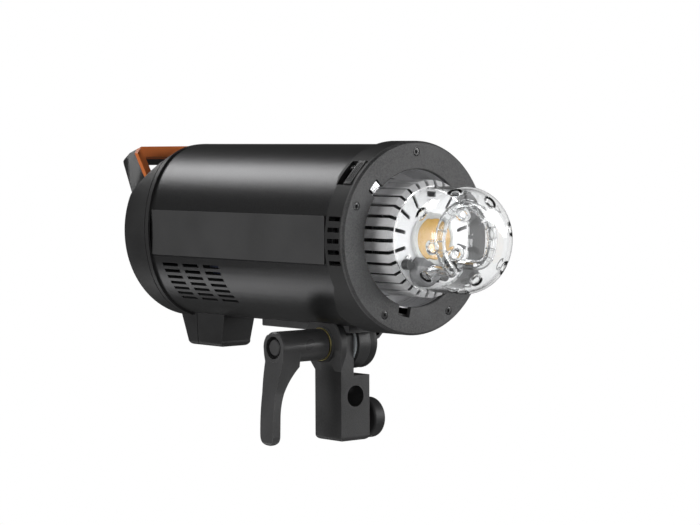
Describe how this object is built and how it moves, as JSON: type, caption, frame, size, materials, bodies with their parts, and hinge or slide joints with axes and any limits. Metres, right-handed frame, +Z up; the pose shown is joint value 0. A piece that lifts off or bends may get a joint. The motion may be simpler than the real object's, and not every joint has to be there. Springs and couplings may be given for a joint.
{
  "type": "monolight strobe",
  "caption": "Tubular studio flash head with an open bayonet mount, glass dome over a ring flash tube, rear panel and carry handle, on a tilting stand bracket with a clamp lever.",
  "frame": {"origin": "centre of the stand socket's mouth, in the bracket's bottom face", "axes": "+Z up, out of the stand; the beam leaves along -Y; +X is the light's left side, where the lock knob is"},
  "size_m": [0.1445, 0.3674, 0.2268],
  "materials": {
    "cast_black": "fine cast grain under satin black powder coat",
    "ring_black": "bead-blasted, anodised dark grey",
    "barrel_black": "brushed and anodised black aluminium",
    "plate_black": "fine satin film over aluminium",
    "moulded_black": "moulded ABS with fine spark texture",
    "lever_black": "satin black powder coat",
    "orange": "satin moulded orange",
    "steel": "turned bright steel",
    "black_screw": "black oxide",
    "brass": "turned brass",
    "nylon": "pale blue nylon",
    "reflector": "bright-dipped aluminium",
    "cup_white": "fine-textured silver white heat-proof paint",
    "heatsink": "extruded and milled",
    "ceramic": "unglazed grey ceramic",
    "led_white": "white moulded holder",
    "phosphor": "silicone phosphor",
    "glass": "clear borosilicate and quartz",
    "capacitor": "shrink sleeve",
    "board": "solder mask",
    "button": "silicone keys",
    "display": "smoked acrylic window"
  },
  "bodies": {
    "bracket": {"bracket_casting": "cast_black"},
    "clamp_screw": {"clamp_stud": "steel", "brass_washer": "brass", "lever_cap_screw": "lever_black"},
    "lever": {"clamp_lever": "lever_black", "lever_spring": "steel"},
    "lock_pad": {"lock_pad": "brass"},
    "lock_knob": {"lock_screw": "steel", "lock_knob": "moulded_black"},
    "head": {"tilt_hub": "cast_black", "hub_cap": "moulded_black", "friction_washer": "nylon", "tilt_saddle": "moulded_black", "bottom_rail": "cast_black", "barrel_shell": "barrel_black", "side_plates": "plate_black", "front_housing": "moulded_black", "mount_ring": "ring_black", "ring_screws": "black_screw", "lug_springs": "steel", "slider_spring": "steel", "lamp_deck": "cast_black", "reflector_bowl": "reflector", "lamp_cup": "cup_white", "cup_screws": "steel", "heat_sink": "heatsink", "led_board": "led_white", "led_phosphor": "phosphor", "led_lens": "glass", "tube_base": "ceramic", "tube_sockets": "moulded_black", "flash_tube": "glass", "tube_caps": "steel", "trigger_wire": "steel", "fan_bulkhead": "cast_black", "fan_frame": "moulded_black", "capacitors": "capacitor", "main_board": "board", "rear_cover": "moulded_black", "rear_foot": "moulded_black", "handle_shell": "moulded_black", "handle_grip": "orange", "control_panel": "moulded_black", "display_window": "display", "power_inlet": "moulded_black", "fuse_cap": "moulded_black", "sync_jack": "steel", "usb_port": "steel"},
    "slider": {"release_slider": "moulded_black", "lock_pin": "steel"},
    "dome": {"glass_dome": "glass"},
    "fan": {"fan_rotor": "moulded_black"},
    "dial": {"dial": "moulded_black"},
    "rocker": {"power_rocker": "moulded_black"},
    "mode_button": {"mode_button": "button"},
    "test_button": {"test_button": "button"},
    "lamp_button": {"lamp_button": "button"},
    "group_button": {"group_button": "button"},
    "channel_button": {"channel_button": "button"},
    "sound_button": {"sound_button": "button"}
  },
  "joints": [
    {"name": "head_tilt", "type": "hinge", "parent": "bracket", "child": "head", "pos_m": [0, 0, 0.0735], "axis": [1, 0, 0], "range_deg": [-70, 70]},
    {"name": "lever_turn", "type": "hinge", "parent": "bracket", "child": "clamp_screw", "pos_m": [-0.022, 0, 0.0735], "axis": [1, 0, 0], "range_deg": [-95, 95]},
    {"name": "lever_lift", "type": "slide", "parent": "clamp_screw", "child": "lever", "axis": [-1, 0, 0], "range_m": [0, 0.0045], "stiffness_N_per_m": 1500, "springref_m": -0.003, "deforming": ["lever_spring"]},
    {"name": "lock_travel", "type": "slide", "parent": "bracket", "child": "lock_pad", "axis": [1, 0, 0], "range_m": [-0.0019, 0.0038]},
    {"name": "lock_turn", "type": "hinge", "parent": "lock_pad", "child": "lock_knob", "pos_m": [0.02, 0, 0.0147], "axis": [1, 0, 0], "range_deg": [-540, 1080]},
    {"name": "slider_pull", "type": "slide", "parent": "head", "child": "slider", "axis": [0, 1, 0], "range_m": [0, 0.004], "stiffness_N_per_m": 900, "springref_m": -0.002, "deforming": ["slider_spring"]},
    {"name": "dome_pull", "type": "slide", "parent": "head", "child": "dome", "axis": [0, -1, 0], "range_m": [0, 0.12]},
    {"name": "fan_spin", "type": "hinge", "parent": "head", "child": "fan", "pos_m": [0, -0.027, 0.155], "axis": [0, 1, 0], "continuous": true},
    {"name": "dial_turn", "type": "hinge", "parent": "head", "child": "dial", "pos_m": [0, 0.19, 0.132], "axis": [0, 1, 0], "continuous": true},
    {"name": "rocker_tip", "type": "hinge", "parent": "head", "child": "rocker", "pos_m": [0.027, 0.1796, 0.107], "axis": [1, 0, 0], "range_deg": [0, 18]},
    {"name": "mode_press", "type": "slide", "parent": "head", "child": "mode_button", "axis": [0, -1, 0], "range_m": [0, 0.0008], "stiffness_N_per_m": 700, "springref_m": -0.0004},
    {"name": "test_press", "type": "slide", "parent": "head", "child": "test_button", "axis": [0, -1, 0], "range_m": [0, 0.0008], "stiffness_N_per_m": 700, "springref_m": -0.0004},
    {"name": "lamp_press", "type": "slide", "parent": "head", "child": "lamp_button", "axis": [0, -1, 0], "range_m": [0, 0.0008], "stiffness_N_per_m": 700, "springref_m": -0.0004},
    {"name": "group_press", "type": "slide", "parent": "head", "child": "group_button", "axis": [0, -1, 0], "range_m": [0, 0.0008], "stiffness_N_per_m": 700, "springref_m": -0.0004},
    {"name": "channel_press", "type": "slide", "parent": "head", "child": "channel_button", "axis": [0, -1, 0], "range_m": [0, 0.0008], "stiffness_N_per_m": 700, "springref_m": -0.0004},
    {"name": "sound_press", "type": "slide", "parent": "head", "child": "sound_button", "axis": [0, -1, 0], "range_m": [0, 0.0008], "stiffness_N_per_m": 700, "springref_m": -0.0004}
  ],
  "couplings": [
    {"joint": "lock_travel", "follows": "lock_turn", "m_per_rad": 0.00019894}
  ]
}
